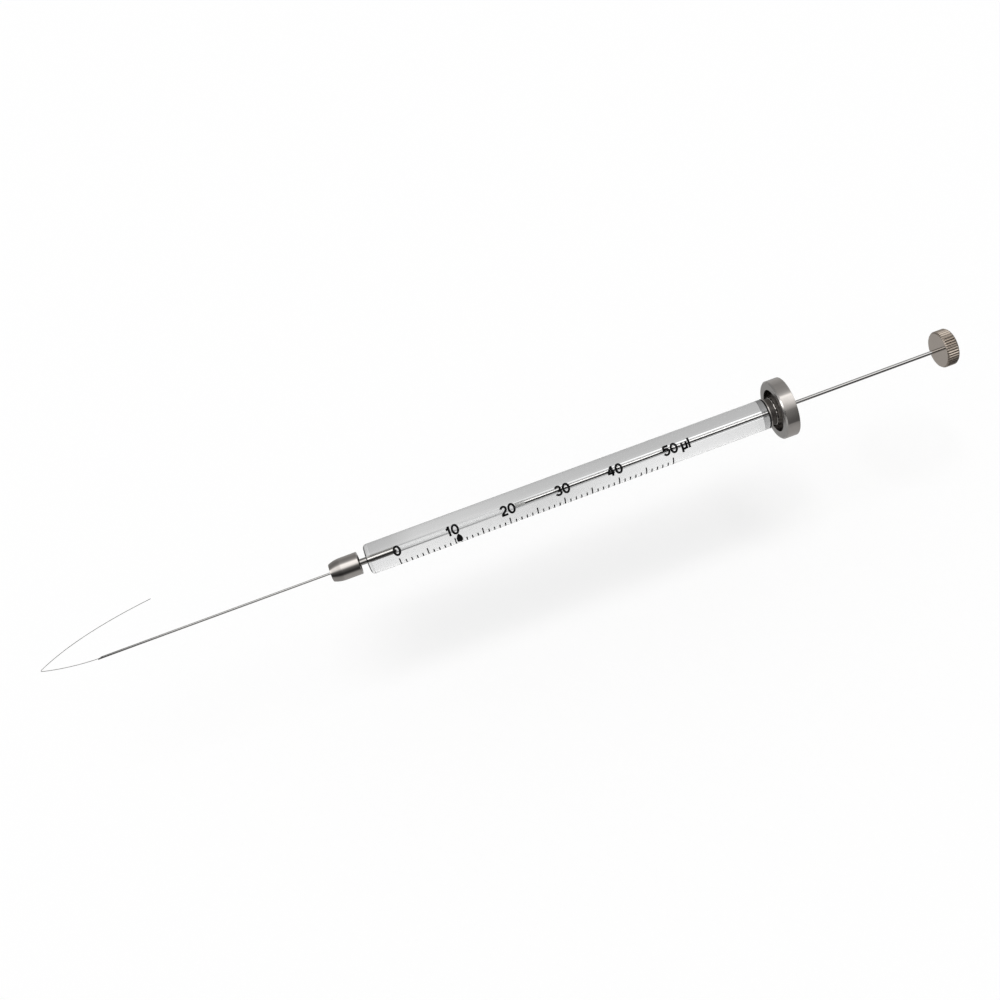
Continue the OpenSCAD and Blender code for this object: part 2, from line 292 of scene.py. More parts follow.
def noise(nodes, links, vector, scale, detail=3.0, roughness=0.5):
    n = nodes.new("ShaderNodeTexNoise")
    n.inputs["Scale"].default_value = scale
    n.inputs["Detail"].default_value = detail
    n.inputs["Roughness"].default_value = roughness
    links.new(vector, n.inputs["Vector"])
    return n.outputs["Fac"]


def remap(nodes, links, value, low, high, out_low, out_high):
    n = nodes.new("ShaderNodeMapRange")
    for key, number in zip(("From Min", "From Max", "To Min", "To Max"), (low, high, out_low, out_high)):
        n.inputs[key].default_value = number
    links.new(value, n.inputs["Value"])
    return n.outputs["Result"]


def bump(nodes, links, shader, height, strength, distance):
    n = nodes.new("ShaderNodeBump")
    n.inputs["Strength"].default_value = strength
    n.inputs["Distance"].default_value = distance
    links.new(height, n.inputs["Height"])
    links.new(n.outputs["Normal"], shader.inputs["Normal"])


def object_coordinates(nodes):
    return nodes.new("ShaderNodeTexCoord").outputs["Object"]


def turned_coordinates(nodes, links):
    """(x, distance from the axis, a little of the angle): the direction in which a turned surface changes."""
    split = nodes.new("ShaderNodeSeparateXYZ")
    links.new(object_coordinates(nodes), split.inputs[0])
    square_y, square_z, total, root = [nodes.new("ShaderNodeMath") for _ in range(4)]
    for node, axis in ((square_y, "Y"), (square_z, "Z")):
        node.operation = "MULTIPLY"
        links.new(split.outputs[axis], node.inputs[0])
        links.new(split.outputs[axis], node.inputs[1])
    links.new(square_y.outputs[0], total.inputs[0])
    links.new(square_z.outputs[0], total.inputs[1])
    root.operation = "SQRT"
    links.new(total.outputs[0], root.inputs[0])
    drift = nodes.new("ShaderNodeMath")
    drift.operation = "MULTIPLY"
    drift.inputs[1].default_value = 0.02
    links.new(split.outputs["Z"], drift.inputs[0])
    join = nodes.new("ShaderNodeCombineXYZ")
    links.new(split.outputs["X"], join.inputs[0])
    links.new(root.outputs[0], join.inputs[1])
    links.new(drift.outputs[0], join.inputs[2])
    return join.outputs[0]


def turned_metal(name, color, roughness, grain=0.5, spread=0.06, anisotropic=0.45, marks=9000, height=0.000002):
    """Metal finished on a lathe: fine rings of tool marks, faint cloudiness and small changes of gloss."""
    mat, nodes, links, shader = new_material(
        name, color, metallic=1.0, roughness=roughness, Anisotropic=anisotropic, Anisotropic_Rotation=0.25
    )
    across = turned_coordinates(nodes, links)
    rings = noise(nodes, links, across, marks, 4.0, 0.6)
    cloud = noise(nodes, links, object_coordinates(nodes), 900, 3.0, 0.55)
    tone = nodes.new("ShaderNodeMix")
    tone.data_type = "RGBA"
    dark = [c * (1 - spread) for c in color]
    light = [min(1, c * (1 + spread)) for c in color]
    tone.inputs["A"].default_value = (*dark, 1)
    tone.inputs["B"].default_value = (*light, 1)
    mixed = nodes.new("ShaderNodeMath")
    mixed.operation = "MULTIPLY_ADD"
    links.new(rings, mixed.inputs[0])
    mixed.inputs[1].default_value = grain
    links.new(remap(nodes, links, cloud, 0.3, 0.7, 0.0, 1 - grain), mixed.inputs[2])
    links.new(mixed.outputs[0], tone.inputs["Factor"])
    links.new(tone.outputs["Result"], shader.inputs["Base Color"])
    links.new(remap(nodes, links, cloud, 0.3, 0.7, roughness * 0.85, roughness * 1.2), shader.inputs["Roughness"])
    bump(nodes, links, shader, rings, 0.35, height)
    tangent = nodes.new("ShaderNodeTangent")
    tangent.direction_type = "RADIAL"
    tangent.axis = "X"
    links.new(tangent.outputs[0], shader.inputs["Tangent"])
    return mat


def clear_glass(name, color=(0.985, 0.988, 0.988)):
    """Drawn borosilicate glass: clear, with the faintest waviness along its length."""
    mat, nodes, links, shader = new_material(name, color, roughness=0.0, IOR=1.474, Transmission_Weight=1.0)
    stretch = nodes.new("ShaderNodeMapping")
    stretch.inputs["Scale"].default_value = (0.12, 1, 1)
    links.new(object_coordinates(nodes), stretch.inputs[0])
    wave = noise(nodes, links, stretch.outputs[0], 700, 2.0, 0.5)
    bump(nodes, links, shader, wave, 0.25, 0.00001)
    return mat


def satin(name, color, roughness, spread=0.12, scale=1500, height=0.000004, **sockets):
    """A smooth non-metal with fine variation of tone, gloss and surface."""
    mat, nodes, links, shader = new_material(name, color, roughness=roughness, **sockets)
    grain = noise(nodes, links, object_coordinates(nodes), scale, 4.0, 0.6)
    tone = nodes.new("ShaderNodeMix")
    tone.data_type = "RGBA"
    tone.inputs["A"].default_value = (*[c * (1 - spread) for c in color], 1)
    tone.inputs["B"].default_value = (*[min(1, c * (1 + spread)) for c in color], 1)
    links.new(remap(nodes, links, grain, 0.3, 0.7, 0, 1), tone.inputs["Factor"])
    links.new(tone.outputs["Result"], shader.inputs["Base Color"])
    links.new(remap(nodes, links, grain, 0.3, 0.7, roughness * 0.85, roughness * 1.15), shader.inputs["Roughness"])
    bump(nodes, links, shader, grain, 0.3, height)
    return mat


STEEL = (0.62, 0.585, 0.555)
glass_look = clear_glass("glass_clear")
# The fire-polished front edge bends the view so far round that it shows dark; that dark is painted shade here, a
# near-black tint in the glass on a band of the edge.
front_edge_painted_shade_mat = clear_glass("glass_edge_painted_shade", (0.03, 0.031, 0.032))
ground_look = satin("glass_ground", (0.62, 0.62, 0.6), 0.55, spread=0.08, scale=5000)
flange_look = turned_metal("steel_flange", STEEL, 0.055, grain=0.4, spread=0.04, anisotropic=0.15, marks=7000)
# Painted shade: the recess gets a darker steel than the flange, for the shade and dark reflections inside it.
recess_painted_shade_mat = turned_metal("steel_recess_painted_shade", (0.27, 0.255, 0.245), 0.2, marks=7000, spread=0.15)
face_look = turned_metal("steel_face", (0.6, 0.58, 0.56), 0.34, grain=0.4, spread=0.05, anisotropic=0.2, marks=7000)
nut_look = turned_metal("steel_nut", STEEL, 0.05, grain=0.4, spread=0.04, anisotropic=0.15, marks=9000)
# Painted highlight: the rim's bevel gets a lighter steel than the flange, for a crisp light line along the edge.
bevel_painted_highlight_mat = turned_metal("steel_bevel_painted_highlight", (0.68, 0.655, 0.63), 0.2, grain=0.4, spread=0.04, anisotropic=0.1, marks=7000)
# Painted shade: a dark grey for the hub behind its teeth, deep in the recess.
hub_rear_painted_shade_mat = satin("steel_hub_rear_painted_shade", (0.15, 0.137, 0.124), 0.45, spread=0.35, scale=1500)
stem_look = turned_metal("steel_stem", (0.5, 0.485, 0.465), 0.05, grain=0.3, spread=0.03, anisotropic=0.2)
rod_look = turned_metal("steel_rod", (0.56, 0.55, 0.54), 0.04, grain=0.3, spread=0.02, anisotropic=0.0, height=0.000001)
needle_look = turned_metal("steel_needle", (0.72, 0.71, 0.695), 0.14, grain=0.3, spread=0.05, anisotropic=0.2)
wire_look = turned_metal("steel_wire", (0.34, 0.33, 0.32), 0.3, grain=0.3, spread=0.05, anisotropic=0.0)
button_look = turned_metal(
    "nickel_button", (0.8, 0.715, 0.64), 0.1, marks=6000, spread=0.04, anisotropic=0.0, height=0.000001
)
knurl_look = turned_metal("nickel_knurl", (0.5, 0.43, 0.365), 0.3, marks=6000, spread=0.08)
# Painted shade: a near-black for the steel hub in front of its teeth and the back of the lip, inside the recess.
hub_painted_shade_mat = satin("steel_hub_painted_shade", (0.062, 0.055, 0.049), 0.4, spread=0.6, scale=1100)
brass_look = turned_metal("brass_collar", (0.72, 0.53, 0.27), 0.25)
ink_look = satin("ink_black", (0.004, 0.004, 0.0045), 0.65, spread=0.3, scale=4000, Specular_IOR_Level=0.12)
ring_look = satin("ring_black", (0.012, 0.012, 0.012), 0.5, spread=0.3, scale=3000, Specular_IOR_Level=0.3)
ptfe_look = satin("ptfe_white", (0.8, 0.8, 0.78), 0.42, spread=0.05, scale=2500)
# Length and darkest share of the painted reflection on the needle.
PAINTED_SHADE_LENGTH, PAINTED_SHADE_SHARE = 18, 0.4


def paint_shade_towards_the_point(mat, x_darkest, x_bright, share):
    """Paints shade into a turned metal's colour along the axis: a painted reflection, darkening it from x_bright to
    x_darkest in millimetres, down to that share.
    """
    nodes, links = mat.node_tree.nodes, mat.node_tree.links
    socket = nodes["Principled BSDF"].inputs["Base Color"]
    split = nodes.new("ShaderNodeSeparateXYZ")
    links.new(object_coordinates(nodes), split.inputs[0])
    scale = nodes.new("ShaderNodeVectorMath")
    scale.operation = "SCALE"
    links.new(socket.links[0].from_socket, scale.inputs[0])
    links.new(remap(nodes, links, split.outputs["X"], x_darkest * MM, x_bright * MM, share, 1), scale.inputs["Scale"])
    links.new(scale.outputs[0], socket)


# Painted reflection: the needle's steel darkens towards its point, for the darker surroundings it reflects there.
paint_shade_towards_the_point(needle_look, needle_tip, needle_tip + PAINTED_SHADE_LENGTH, PAINTED_SHADE_SHARE)

for node, look in {
    "needle_collar": brass_look,
    "needle_seal": ptfe_look,
    "plunger_tip": ptfe_look,
    "plunger_guide": flange_look,
    "cleaning_wire": wire_look,
}.items():
    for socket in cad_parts[node].material_slots:
        socket.material = look

# ---------------------------------------------------------------- glass barrel

STEM_SINK = 0.02
EDGE_R, PAINTED_SHADE_BAND = 0.8, 0.24
END_GAP = 0.03
glass = add_piece(
    "glass",
    turned_mesh(
        "glass",
        [
            (glass_front, STEM_R - STEM_SINK),
            (glass_front, GLASS_R, EDGE_R),
            (ring_front, GLASS_R, 0.06),
            (ring_front, BORE_R),
            (stem_rear - STEM_SINK, BORE_R),
            (stem_rear - STEM_SINK, STEM_R - STEM_SINK),
        ],
        256,
    ),
    "barrel",
    glass_look,
    ["glass_barrel"],
)
glass.data.materials.append(front_edge_painted_shade_mat)
# Painted shade: the band of the front edge within PAINTED_SHADE_BAND gets the near-black glass.
for face in glass.data.polygons:
    x, r = place_of(face)
    if x < glass_front + PAINTED_SHADE_BAND and r > GLASS_R - EDGE_R:
        face.material_index = 1
add_piece(
    "glass_end",
    turned_mesh(
        "glass_end",
        [
            (ring_front + END_GAP, BORE_R),
            (ring_front + END_GAP, GLASS_END_R),
            (glass_rear, GLASS_END_R, 0.12),
            (glass_rear, BORE_R + 0.1),
            (glass_rear - 0.1, BORE_R),
        ],
        128,
    ),
    "barrel",
    ground_look,
)

# ---------------------------------------------------------------- printed scale


def flat_bar(width, height):
    bm = bmesh.new()
    bmesh.ops.create_grid(bm, x_segments=1, y_segments=1, size=0.5)
    bmesh.ops.scale(bm, vec=(width, height, 1), verts=bm.verts)
    return bm


def flat_drop():
    """The drop-shaped mark: a round foot, straight sides, and curved sides that close to a point."""
    r = DROP_WIDTH / 2
    foot = r - DROP_HEIGHT / 2
    shoulder = -0.05 * DROP_HEIGHT
    rise = DROP_HEIGHT / 2 - shoulder
    side_r = (rise * rise + r * r) / (2 * r)
    sweep = math.asin(rise / side_r)
    outline = []
    for k in range(33):
        a = math.pi + math.pi * k / 32
        outline.append((r * math.cos(a), foot + r * math.sin(a)))
    side = []
    for k in range(17):
        a = sweep * k / 16
        side.append((side_r * math.cos(a) - side_r + r, shoulder + side_r * math.sin(a)))
    outline += side + [(-x, y) for x, y in reversed(side[:-1])]
    bm = bmesh.new()
    bm.faces.new([bm.verts.new((x, y, 0)) for x, y in outline])
    return bm


def arc_mm(degrees):
    return math.radians(degrees) * GLASS_R


drop_foot = DROP_ANGLE + math.degrees(math.asin(DROP_HEIGHT / 2 / GLASS_R)) + 1
marks = [wrapped_ink("drop", flat_drop(), DROP_X, DROP_ANGLE)]
for i in range(LINE_COUNT):
    x = i * LINE_STEP
    span = LINE_SPAN_LONG if i % 5 == 0 else LINE_SPAN_SHORT
    if abs(x - DROP_X) < (DROP_WIDTH + LINE_WIDTH) / 2:
        span = min(span, LINE_START - drop_foot)
    marks.append(wrapped_ink(f"line_{i}", flat_bar(LINE_WIDTH, arc_mm(span)), x, LINE_START - span / 2))
add_piece("scale_ink", joined("scale_ink", *marks), "barrel", ink_look, ["scale_marks"])


def arc(cx, cy, rx, ry, a0, a1, steps=20):
    """Points along part of an ellipse, from angle a0 to a1."""
    angles = [math.radians(a0 + (a1 - a0) * k / steps) for k in range(steps + 1)]
    return [(cx + rx * math.cos(a), cy + ry * math.sin(a)) for a in angles]


# The strokes of each figure, in units of its height, centred on the middle of its height, and its width.
FIGURES = {
    "0": ([arc(0, 0, 0.283, 0.422, 0, 360, 48)], 0.72),
    "1": ([[(0.07, -0.5), (0.07, 0.5)], [(-0.2, 0.2), (-0.06, 0.24), (0.02, 0.31), (0.06, 0.42)]], 0.44),
    "2": (
        [
            arc(0.0, 0.185, 0.245, 0.237, 172, -28) + [(0.12, -0.06), (-0.1, -0.22), (-0.2, -0.33), (-0.235, -0.4)],
            [(-0.325, -0.422), (0.325, -0.422)],
        ],
        0.68,
    ),
    "3": ([arc(-0.005, 0.2, 0.225, 0.222, 160, -90) + [(-0.09, -0.022)], arc(0, -0.21, 0.262, 0.212, 90, -165)], 0.7),
    "4": (
        [
            [(0.13, -0.5), (0.13, 0.5)],
            [(0.09, 0.43), (-0.12, 0.12), (-0.3, -0.17)],
            [(-0.36, -0.2), (0.33, -0.2)],
        ],
        0.74,
    ),
    "5": (
        [
            [(-0.2, 0.425), (0.29, 0.425)],
            [(-0.19, 0.46), (-0.25, 0.0)],
            arc(-0.01, -0.13, 0.28, 0.292, 142, -155),
        ],
        0.7,
    ),
    "µ": (
        [
            [(-0.22, 0.24), (-0.22, -0.76)],
            arc(0, -0.2, 0.22, 0.225, 180, 360),
            [(0.22, 0.24), (0.22, -0.5)],
        ],
        0.64,
    ),
    "l": ([[(0, -0.5), (0, 0.5)]], 0.2),
}


def flat_stroke(bm, points, width):
    """Adds a stroke of that width along points to a flat bmesh."""
    closed = (Vector(points[0]) - Vector(points[-1])).length < 1e-6
    if closed:
        points = points[:-1]
    count = len(points)
    sides = []
    for i, point in enumerate(points):
        before = Vector(points[i - 1] if i or closed else point)
        after = Vector(points[(i + 1) % count] if i < count - 1 or closed else point)
        here = Vector(point)
        d1 = (here - before).normalized() if (here - before).length > 0 else (after - here).normalized()
        d2 = (after - here).normalized() if (after - here).length > 0 else d1
        across = Vector((-d1.y - d2.y, d1.x + d2.x)).normalized()
        reach = width / 2 / max(0.5, across.dot(Vector((-d1.y, d1.x))))
        sides.append([bm.verts.new((*(here + across * w), 0)) for w in (reach, -reach)])
    for i in range(count if closed else count - 1):
        (a, b), (c, d) = sides[i], sides[(i + 1) % count]
        bm.faces.new((a, b, d, c))


def flat_number(text):
    """Bold figures as a flat bmesh in millimetres, centred."""
    gap = 0.085
    total = sum(FIGURES[c][1] for c in text) + gap * (len(text) - 1)
    bm = bmesh.new()
    left = -total / 2
    for c in text:
        strokes, wide = FIGURES[c]
        for stroke in strokes:
            moved = [((x + left + wide / 2) * NUMBER_HEIGHT, y * NUMBER_HEIGHT) for x, y in stroke]
            flat_stroke(bm, moved, NUMBER_STROKE)
        left += wide + gap
    return bm


NUMBER_ANGLE, NUMBER_DRIFT = 50.7, 3.9
SCALE_LENGTH = 60
numbers = []
for text, x in (("0", 0.1), ("10", 12.1), ("20", 24.15), ("30", 36.05), ("40", 47.6), ("50", 59.85), ("µl", 63.2)):
    angle = NUMBER_ANGLE - NUMBER_DRIFT * x / SCALE_LENGTH
    numbers.append(wrapped_ink("number", flat_number(text), x, angle))
add_piece("scale_numbers", joined("scale_numbers", *numbers), "barrel", ink_look)

# ---------------------------------------------------------------- steel stem, nut and needle

THREAD_REAR = nut_rear - 0.45
NECK_R, HEAD_R, THREAD_ROOT = 0.7, 1.5, 1.24
STEM_BORE_R = 0.15
stem_core = turned_mesh(
    "stem",
    [
        (stem_front, STEM_BORE_R, 0.02),
        (stem_front, THREAD_ROOT, 0.05),
        (THREAD_REAR, THREAD_ROOT, 0.05),
        (THREAD_REAR, NECK_R, 0.06),
        (glass_front, NECK_R, 0.05),
        (glass_front, STEM_R),
        (stem_rear, STEM_R, 0.03),
        (stem_rear, STEM_BORE_R, 0.02),
    ],
    128,
)
stem_thread = thread_mesh("stem_thread", stem_front + 0.05, THREAD_REAR - 0.05, HEAD_R, THREAD_ROOT, 1.0)
add_piece("stem", joined("stem", stem_core, stem_thread), "barrel", stem_look, ["needle_stem"])

NUT_R, NOSE_R, NOSE_LENGTH = 2.4, 1.85, 2.6
NUT_HOLE_R, NUT_BORE_R, COLLAR_SEAT_R = 0.285, 1.8, 1.55
seat_x = collar_front - 0.02
thread_x = seat_x + 0.6
nut_curve = []
curve_drop = NUT_R - NOSE_R
curve_r = (NOSE_LENGTH**2 + curve_drop**2) / (2 * curve_drop)
for k in range(17):
    x = NOSE_LENGTH * k / 16
    nut_curve.append((nut_front + x, NUT_R - curve_r + math.sqrt(curve_r**2 - (NOSE_LENGTH - x) ** 2)))
nut_curve[0] = (*nut_curve[0], 0.1)
nut_shell = turned_mesh(
    "nut",
    [(nut_front, NUT_HOLE_R, 0.04)]
    + nut_curve
    + [
        (nut_rear, NUT_R, 0.12),
        (nut_rear, NUT_BORE_R, 0.03),
        (nut_rear - 0.2, NUT_BORE_R),
        (thread_x, NUT_BORE_R),
        (thread_x, COLLAR_SEAT_R),
        (seat_x, COLLAR_SEAT_R, 0.05),
        (seat_x, NUT_HOLE_R, 0.03),
    ],
    160,
)
nut_thread = thread_mesh("nut_thread", collar_front + 0.6, nut_rear - 0.15, 1.56, 1.78, 1.9)
add_piece("nut", joined("nut", nut_shell, nut_thread), "nut", nut_look, ["needle_nut"])

NEEDLE_R, NEEDLE_BORE_R, POINT_ANGLE = 0.235, 0.08, 20.0
POINT_SPARE = 0.5


def needle_mesh():
    """A tube whose end is ground off at a flat angle."""
    mesh = turned_mesh(
        "needle",
        [
            (needle_tip - POINT_SPARE, NEEDLE_BORE_R),
            (needle_tip - POINT_SPARE, NEEDLE_R),
            (needle_end, NEEDLE_R),
            (needle_end, NEEDLE_BORE_R),
        ],
        48,
    )
    bm = bmesh.new()
    bm.from_mesh(mesh)
    slope = math.radians(POINT_ANGLE)
    cut = bmesh.ops.bisect_plane(
        bm,
        geom=bm.verts[:] + bm.edges[:] + bm.faces[:],
        plane_co=Vector((needle_tip, 0, -NEEDLE_R)) * MM,
        plane_no=(-math.sin(slope), 0, math.cos(slope)),
        clear_outer=True,
    )
    edges = [e for e in cut["geom_cut"] if isinstance(e, bmesh.types.BMEdge)]
    bmesh.ops.bridge_loops(bm, edges=edges)
    bmesh.ops.recalc_face_normals(bm, faces=bm.faces)
    bm.to_mesh(mesh)
    bm.free()
    mesh.polygons.foreach_set("use_smooth", [True] * len(mesh.polygons))
    mesh.set_sharp_from_angle(angle=math.radians(25))
    return mesh


add_piece("needle", needle_mesh(), "needle", needle_look, ["needle_tube"])

# ---------------------------------------------------------------- flange and black ring

RIM_R, RECESS_R, HUB_R, BUSH_R = 6.4, 4.6, 2.9, 1.2
RING_IN_R = 2.925
SEAT_GAP = 0.015
LIP_X = ring_rear
LIP_MIDDLE_X = LIP_X + 0.2
LIP_REAR_X = LIP_X + 0.4
FACE_X = LIP_X + 1.85
RECESS_FLOOR_X = FACE_X + 2
RIM_SLOPE = 0.3
SOCKET_X = glass_rear + 0.05
TEETH_X, TEETH_WIDTH = 83.38, 0.46
TEETH_REAR_X = TEETH_X + TEETH_WIDTH
HUB_TEETH, HUB_STEPS = 18, 256
flange_body = turned_mesh(
    "flange",
    [
        (flange_lip, GLASS_END_R + SEAT_GAP),
        (flange_lip, RING_IN_R - SEAT_GAP),
        (LIP_X, RING_IN_R - SEAT_GAP),
        (LIP_X, GLASS_R, 0.05),
        (LIP_MIDDLE_X, GLASS_R),
        (LIP_REAR_X, GLASS_R, 0.08),
        (LIP_REAR_X, HUB_R, 0.03),
        (TEETH_X, HUB_R),
        (TEETH_REAR_X, HUB_R),
        (RECESS_FLOOR_X, HUB_R, 0.1),
        (RECESS_FLOOR_X, RECESS_R, 0.12),
        (FACE_X, RECESS_R, 0.05),
        (FACE_X, RIM_R - RIM_SLOPE, 0.03),
        (FACE_X + RIM_SLOPE, RIM_R, 0.03),
        (flange_rear, RIM_R, 0.13),
        (flange_rear, BUSH_R + SEAT_GAP, 0.05),
        (SOCKET_X, BUSH_R + SEAT_GAP),
        (SOCKET_X, GLASS_END_R + SEAT_GAP),
    ],
    256,
)
hub_rows = []
for x, rise in ((0, -0.05), (0.04, 0.06), (0.14, 0.14), (0.32, 0.14), (0.42, 0.06), (TEETH_WIDTH, -0.05)):
    row = []
    for j in range(HUB_STEPS):
        tooth = 0.5 + 0.5 * math.cos(math.radians(HUB_TEETH * 360 * j / HUB_STEPS))
        row.append(on_axis(TEETH_X + x, HUB_R + rise * (0.25 + 0.75 * tooth), 360 * j / HUB_STEPS))
    hub_rows.append(row)
hub_ring = tidy(grid_mesh("hub_ring", hub_rows, loop_rows=True))
flange_mesh = joined("flange", flange_body, hub_ring)
flange = add_piece("flange", flange_mesh, "barrel", flange_look, ["barrel_flange"])
for look in (recess_painted_shade_mat, hub_painted_shade_mat, face_look, bevel_painted_highlight_mat, hub_rear_painted_shade_mat):
    flange.data.materials.append(look)
# Slots: the flange's own steel; painted shade in the recess; painted shade on the hub and the back of the lip; the
# face's own steel; a painted highlight on the rim's bevel; painted shade on the hub behind its teeth.
BRIGHT, RECESS, HUB, FACE, BEVEL, SHADE = range(6)
for face in flange.data.polygons:
    x, r = place_of(face)
    if r < RECESS_R + 0.02 and LIP_REAR_X - 0.04 < x < RECESS_FLOOR_X + 0.01:
        face.material_index = HUB if x < TEETH_X else RECESS
        if TEETH_X < x < TEETH_REAR_X and r > HUB_R + 0.005:
            face.material_index = BRIGHT
        elif x > TEETH_REAR_X and r < HUB_R + 0.02:
            face.material_index = SHADE
    elif r < GLASS_R + 0.01 and x < LIP_REAR_X + 0.01:
        face.material_index = BRIGHT if x < LIP_MIDDLE_X + 0.01 else HUB
    elif abs(x - FACE_X) < 0.02 and r > RECESS_R:
        face.material_index = FACE
    elif r > RIM_R - RIM_SLOPE and x < FACE_X + RIM_SLOPE - 0.01:
        face.material_index = BEVEL
add_piece(
    "black_ring",
    turned_mesh(
        "black_ring",
        [
            (ring_front + 0.02, RING_IN_R),
            (ring_front + 0.02, GLASS_R, 0.05),
            (ring_rear, GLASS_R, 0.05),
            (ring_rear, RING_IN_R),
        ],
    ),
    "barrel",
    ring_look,
    ["end_ring"],
)

# ---------------------------------------------------------------- plunger rod and button

ROD_R, NIPPLE_R, TIP_REAR = 0.4, 0.2, 28.0
BUTTON_R, KNURL_TEETH, KNURL_DEPTH, BUTTON_SLOPE = 3.975, 44, 0.16, 0.3
BUTTON_HOLE_DEPTH, STEPS_PER_TOOTH = 1.35, 10
add_piece(
    "rod",
    turned_mesh(
        "rod",
        [
            (rod_front, 0),
            (rod_front, NIPPLE_R, 0.05),
            (TIP_REAR, NIPPLE_R),
            (TIP_REAR, ROD_R, 0.03),
            (rod_rear, ROD_R),
            (rod_rear, 0),
        ],
        96,
    ),
    "plunger",
    rod_look,
    ["plunger_rod"],
)


def knurl_radius(angle):
    """Radius of the knurled rim at an angle: flat-topped teeth with slanting sides."""
    u = (angle * KNURL_TEETH / 360) % 1
    rise = abs(2 * u - 1)
    return BUTTON_R - KNURL_DEPTH * min(1, max(0, (0.8 - rise) / 0.68))


def button_mesh():
    """The button: a knurled rim between two sloped edges, and the rod's blind hole in front."""
    segments = KNURL_TEETH * STEPS_PER_TOOTH
    hole = ROD_R + SEAT_GAP
    levels = [
        (button_front + BUTTON_HOLE_DEPTH, hole),
        (button_front, hole),
        (button_front, BUTTON_R - BUTTON_SLOPE - 0.2),
        (button_front, BUTTON_R - BUTTON_SLOPE),
        (button_front + 0.02, BUTTON_R - BUTTON_SLOPE + 0.05),
        (button_front + BUTTON_SLOPE - 0.06, BUTTON_R - 0.08),
        (button_front + BUTTON_SLOPE - 0.02, BUTTON_R - 0.03),
        (button_front + BUTTON_SLOPE + 0.04, BUTTON_R),
        (button_rear - BUTTON_SLOPE - 0.04, BUTTON_R),
        (button_rear - BUTTON_SLOPE + 0.02, BUTTON_R - 0.03),
        (button_rear - BUTTON_SLOPE + 0.06, BUTTON_R - 0.08),
        (button_rear - 0.02, BUTTON_R - BUTTON_SLOPE + 0.05),
        (button_rear, BUTTON_R - BUTTON_SLOPE),
        (button_rear, BUTTON_R - BUTTON_SLOPE - 0.2),
        (button_rear, 0.0),
    ]
    rows = []
    angles = [360 * j / segments for j in range(segments)]
    for x, r in levels:
        rows.append([on_axis(x, min(r, knurl_radius(angle)), angle) for angle in angles])
    rows.append([on_axis(button_front + BUTTON_HOLE_DEPTH, 0, 0)] * segments)
    mesh = grid_mesh("button", rows, loop_rows=True)
    tidy(mesh)
    mesh.set_sharp_from_angle(angle=math.radians(28))
    return mesh


button = add_piece("button", button_mesh(), "plunger", button_look, ["plunger_button"])
button.data.materials.append(knurl_look)
for face in button.data.polygons:
    if place_of(face)[1] > BUTTON_R - BUTTON_SLOPE - 0.02:
        face.material_index = 1

# ---------------------------------------------------------------- floor, light and world

# The floor is in metres.
FLOOR_DROP, FLOOR_HALF = 0.03, 3.0
floor_z = -RIM_R * MM - FLOOR_DROP
floor_mesh = bpy.data.meshes.new("floor")
floor_mesh.from_pydata(
    [(x * FLOOR_HALF, y * FLOOR_HALF, floor_z) for x, y in ((-1, -1), (1, -1), (1, 1), (-1, 1))], [], [(0, 1, 2, 3)]
)
floor = bpy.data.objects.new("floor", floor_mesh)
bpy.context.scene.collection.objects.link(floor)
floor.visible_glossy = False
floor.visible_transmission = False
floor_mat, nodes, links, shader = new_material("floor_pale", (0.9, 0.9, 0.9), roughness=0.9)
shader.inputs["Specular IOR Level"].default_value = 0.0
path = nodes.new("ShaderNodeLightPath")
glow = nodes.new("ShaderNodeMath")
glow.operation = "MULTIPLY"
glow.inputs[1].default_value = 0.1
links.new(path.outputs["Is Camera Ray"], glow.inputs[0])
shader.inputs["Emission Color"].default_value = (1, 1, 1, 1)
links.new(glow.outputs[0], shader.inputs["Emission Strength"])
floor_mesh.materials.append(floor_mat)

# Brightness of the studio round the syringe's axis, by angle: 0 is the front, 90 overhead, 180 the back, -90 below.
# The first list is met by rays that leave at right angles to the axis or towards the needle, the second by those that
# lean towards the button. All levels are set for the camera below, and differ by what a ray has met, as no
# real room does. Seen from elsewhere they are only plausible.
SEEN_IN_METAL = (
    [
        (-180, 0.38), (-130, 0.46), (-87, 0.45), (-60, 0.41), (-40, 0.4), (-28, 0.32), (-17, 0.11), (-9, 0.055),
        (-1, 0.035), (10, 0.06), (22, 0.11), (31, 0.16), (37, 0.3), (42, 0.5), (48, 0.9), (60, 1.45),
        (70, 1.5), (82, 1.6), (90, 1.25), (97, 0.72), (106, 0.42), (118, 0.31), (140, 0.26), (158, 0.32), (180, 0.38),
    ],
    [
        (-180, 0.45), (-130, 0.43), (-48, 0.39), (-36, 0.34), (-29, 0.3), (-26, 0.12), (-16, 0.13), (-4, 0.16),
        (6, 0.2), (18, 0.24), (27, 0.3), (33, 0.46), (41, 0.62), (50, 0.8), (58, 0.97), (68, 1.12),
        (76, 1.25), (81, 1.45), (85, 1.35), (89, 0.7), (96, 0.5), (106, 0.38), (120, 0.34), (145, 0.32),
        (165, 0.4), (180, 0.45),
    ],
)  # fmt: skip
